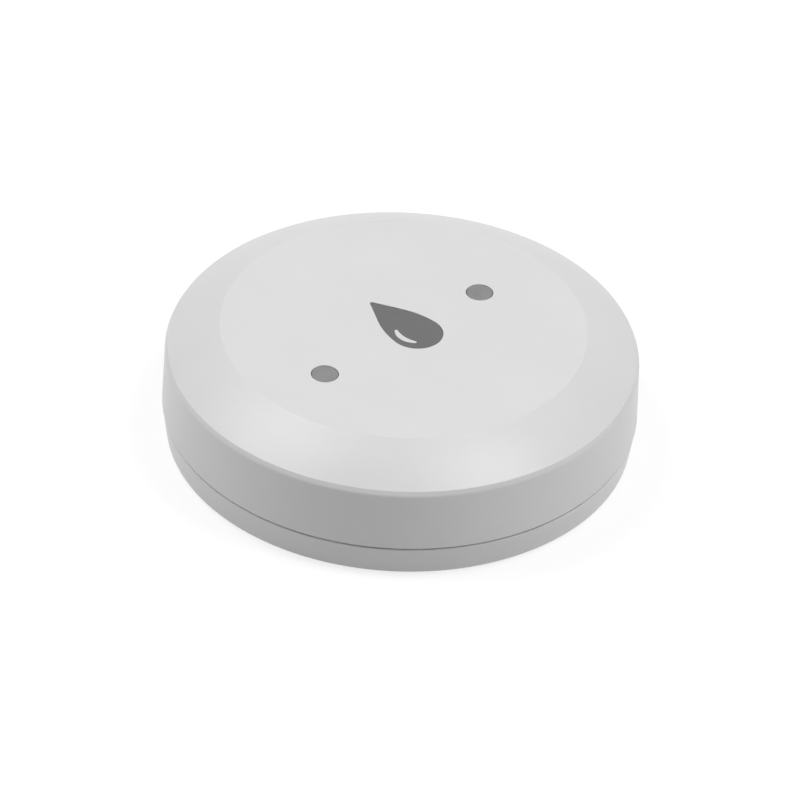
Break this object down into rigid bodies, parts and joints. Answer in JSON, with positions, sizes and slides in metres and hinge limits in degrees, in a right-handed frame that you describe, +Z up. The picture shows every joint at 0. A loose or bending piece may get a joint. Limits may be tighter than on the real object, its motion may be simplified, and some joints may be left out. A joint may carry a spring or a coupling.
{
  "type": "water leak sensor",
  "caption": "Round floor puck that senses water: sealed plug-fit cover with drip contacts and a lit drop, metal floor probes below, cells and a radio board inside.",
  "frame": {"origin": "centre of the round body on the surface that the probe heads stand on", "axes": "+Z up through the flat top; +X from the left to the right drip contact; +Y to the drop's point"},
  "size_m": [0.08, 0.08, 0.0216],
  "materials": {
    "housing": "fine matt moulding",
    "seal": "soft matt",
    "board": "solder mask",
    "module_board": "solder mask",
    "steel": "bright zinc",
    "holder": "moulded",
    "cell": "plain metal jacket",
    "spring_steel": "drawn wire",
    "plated_steel": "tin plate",
    "copper": "gilt track",
    "chip": "moulded",
    "ceramic": "fired",
    "led": "milky",
    "plunger": "smooth",
    "inlay": "satin tinted plastic",
    "lens": "milky",
    "clear": "clear moulding",
    "contact": "matt nickel",
    "probe": "turned"
  },
  "bodies": {
    "base": {"base_shell": "housing", "seal_ring": "seal", "probe_seals": "seal", "circuit_board": "board", "radio_module": "module_board", "board_screws": "steel", "battery_holder": "holder", "battery_1": "cell", "battery_2": "cell", "battery_spring_1": "spring_steel", "battery_spring_2": "spring_steel", "contact_spring_1": "spring_steel", "contact_spring_2": "spring_steel", "battery_link": "plated_steel", "battery_tab_1": "plated_steel", "battery_tab_2": "plated_steel", "radio_shield": "plated_steel", "antenna": "copper", "controller_chip": "chip", "crystal": "plated_steel", "board_passives": "ceramic", "status_led": "led", "switch_body": "chip", "floor_probe_1": "probe", "floor_probe_2": "probe", "floor_probe_3": "probe", "floor_probe_4": "probe"},
    "plunger": {"switch_plunger": "plunger"},
    "cover": {"top_cover": "housing", "drop_inlay": "inlay", "drop_lens": "lens", "light_guide": "clear", "drip_contact_1": "contact", "drip_contact_2": "contact", "contact_seals": "seal", "contact_clips": "steel"}
  },
  "joints": [
    {"name": "cover_lift", "type": "slide", "parent": "base", "child": "cover", "axis": [0, 0, 1], "range_m": [0, 0.03]},
    {"name": "plunger_press", "type": "slide", "parent": "base", "child": "plunger", "axis": [0, 0, -1], "range_m": [0, 0.00025], "stiffness_N_per_m": 2000}
  ]
}
